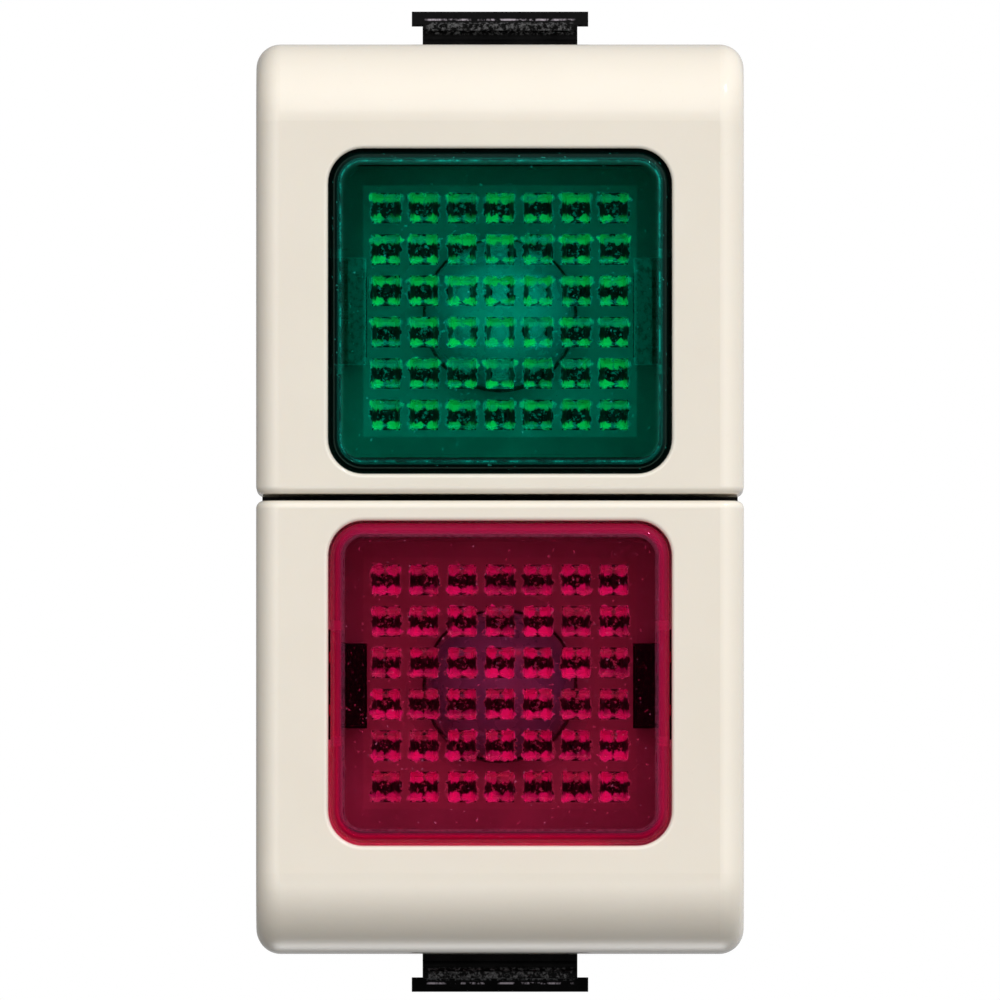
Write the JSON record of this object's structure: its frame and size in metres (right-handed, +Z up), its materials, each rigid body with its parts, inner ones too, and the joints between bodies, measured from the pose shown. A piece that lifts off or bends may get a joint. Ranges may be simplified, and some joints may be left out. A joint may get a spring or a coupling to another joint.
{
  "type": "modular indicator light",
  "caption": "Snap-in indicator light module: cream caps one above the other, green and red prism lenses, bayonet lamps, black housing with spring tongues and cage terminals.",
  "frame": {"origin": "middle of the module in its seating plane, where the rear rims of the caps meet the housing flange", "axes": "+Z up, from the red lens to the green lens; +X to the right seen from the front; the face looks along -Y, so +Y goes into the wall"},
  "size_m": [0.0222, 0.0352, 0.045],
  "materials": {
    "cream_plastic": "polished cream thermoplastic",
    "black_plastic": "fine spark-textured black thermoplastic",
    "green_clear_plastic": "transparent green thermoplastic, polished face, prism back",
    "red_clear_plastic": "transparent red thermoplastic, polished face, prism back",
    "brass": "stamped brass, slightly dulled",
    "nickel_brass": "nickel-plated brass",
    "plated_steel": "zinc-plated steel",
    "blackened_steel": "black-oxide steel",
    "solder": "soft solder",
    "filament_wire": "drawn wire",
    "lamp_glass": "pale blue frosted glass",
    "brown_insulator": "brown moulded insulator",
    "pale_plastic": "pale opaque thermoplastic"
  },
  "bodies": {
    "module_body": {"front_housing": "black_plastic", "rear_base": "black_plastic", "housing_rivets": "blackened_steel", "upper_reflector": "pale_plastic", "upper_lamp_socket": "brass", "upper_socket_disc": "brown_insulator", "upper_contact_plunger": "brass", "upper_contact_spring": "plated_steel", "upper_socket_strip": "brass", "upper_contact_strip": "brass", "lower_reflector": "pale_plastic", "lower_lamp_socket": "brass", "lower_socket_disc": "brown_insulator", "lower_contact_plunger": "brass", "lower_contact_spring": "plated_steel", "lower_socket_strip": "brass", "lower_contact_strip": "brass"},
    "upper_cap": {"upper_cap": "cream_plastic"},
    "lower_cap": {"lower_cap": "cream_plastic"},
    "green_lens": {"green_lens": "green_clear_plastic"},
    "red_lens": {"red_lens": "red_clear_plastic"},
    "upper_lamp": {"upper_lamp_glass": "lamp_glass", "upper_lamp_base": "nickel_brass", "upper_lamp_insulator": "brown_insulator", "upper_lamp_button": "solder", "upper_lamp_filament": "filament_wire"},
    "lower_lamp": {"lower_lamp_glass": "lamp_glass", "lower_lamp_base": "nickel_brass", "lower_lamp_insulator": "brown_insulator", "lower_lamp_button": "solder", "lower_lamp_filament": "filament_wire"},
    "upper_tongue": {"upper_latch_tongue": "black_plastic"},
    "lower_tongue": {"lower_latch_tongue": "black_plastic"},
    "screw_1": {"terminal_screw_1": "plated_steel"},
    "cage_1": {"terminal_cage_1": "plated_steel"},
    "screw_2": {"terminal_screw_2": "plated_steel"},
    "cage_2": {"terminal_cage_2": "plated_steel"},
    "screw_3": {"terminal_screw_3": "plated_steel"},
    "cage_3": {"terminal_cage_3": "plated_steel"},
    "screw_4": {"terminal_screw_4": "plated_steel"},
    "cage_4": {"terminal_cage_4": "plated_steel"}
  },
  "joints": [
    {"name": "upper_cap_pull", "type": "slide", "parent": "module_body", "child": "upper_cap", "axis": [0, -1, 0], "range_m": [0, 0.006]},
    {"name": "lower_cap_pull", "type": "slide", "parent": "module_body", "child": "lower_cap", "axis": [0, -1, 0], "range_m": [0, 0.006]},
    {"name": "green_lens_pull", "type": "slide", "parent": "upper_cap", "child": "green_lens", "axis": [0, -1, 0], "range_m": [0, 0.0055]},
    {"name": "red_lens_pull", "type": "slide", "parent": "lower_cap", "child": "red_lens", "axis": [0, -1, 0], "range_m": [0, 0.0055]},
    {"name": "upper_lamp_twist", "type": "hinge", "parent": "module_body", "child": "upper_lamp", "pos_m": [0, 0.011, 0.00851], "axis": [0, -1, 0], "range_deg": [0, 60]},
    {"name": "lower_lamp_twist", "type": "hinge", "parent": "module_body", "child": "lower_lamp", "pos_m": [0, 0.011, -0.00851], "axis": [0, -1, 0], "range_deg": [0, 60]},
    {"name": "upper_tongue_press", "type": "hinge", "parent": "module_body", "child": "upper_tongue", "pos_m": [0, 0.012, 0.0203], "axis": [1, 0, 0], "range_deg": [0, 5], "stiffness_Nm_per_rad": 0.5},
    {"name": "lower_tongue_press", "type": "hinge", "parent": "module_body", "child": "lower_tongue", "pos_m": [0, 0.012, -0.0203], "axis": [-1, 0, 0], "range_deg": [0, 5], "stiffness_Nm_per_rad": 0.5},
    {"name": "screw_1_turn", "type": "hinge", "parent": "module_body", "child": "screw_1", "pos_m": [-0.0052, 0.02, 0.0145], "axis": [0, -1, 0], "range_deg": [0, 1440]},
    {"name": "screw_2_turn", "type": "hinge", "parent": "module_body", "child": "screw_2", "pos_m": [0.0052, 0.02, 0.0145], "axis": [0, -1, 0], "range_deg": [0, 1440]},
    {"name": "screw_3_turn", "type": "hinge", "parent": "module_body", "child": "screw_3", "pos_m": [0.0052, 0.02, -0.0145], "axis": [0, -1, 0], "range_deg": [0, 1440]},
    {"name": "screw_4_turn", "type": "hinge", "parent": "module_body", "child": "screw_4", "pos_m": [-0.0052, 0.02, -0.0145], "axis": [0, -1, 0], "range_deg": [0, 1440]},
    {"name": "cage_1_clamp", "type": "slide", "parent": "module_body", "child": "cage_1", "axis": [0, 1, 0], "range_m": [0, 0.002]},
    {"name": "cage_2_clamp", "type": "slide", "parent": "module_body", "child": "cage_2", "axis": [0, 1, 0], "range_m": [0, 0.002]},
    {"name": "cage_3_clamp", "type": "slide", "parent": "module_body", "child": "cage_3", "axis": [0, 1, 0], "range_m": [0, 0.002]},
    {"name": "cage_4_clamp", "type": "slide", "parent": "module_body", "child": "cage_4", "axis": [0, 1, 0], "range_m": [0, 0.002]}
  ],
  "couplings": [
    {"joint": "screw_1_turn", "follows": "cage_1_clamp", "rad_per_m": 12566},
    {"joint": "screw_2_turn", "follows": "cage_2_clamp", "rad_per_m": 12566},
    {"joint": "screw_3_turn", "follows": "cage_3_clamp", "rad_per_m": 12566},
    {"joint": "screw_4_turn", "follows": "cage_4_clamp", "rad_per_m": 12566}
  ]
}
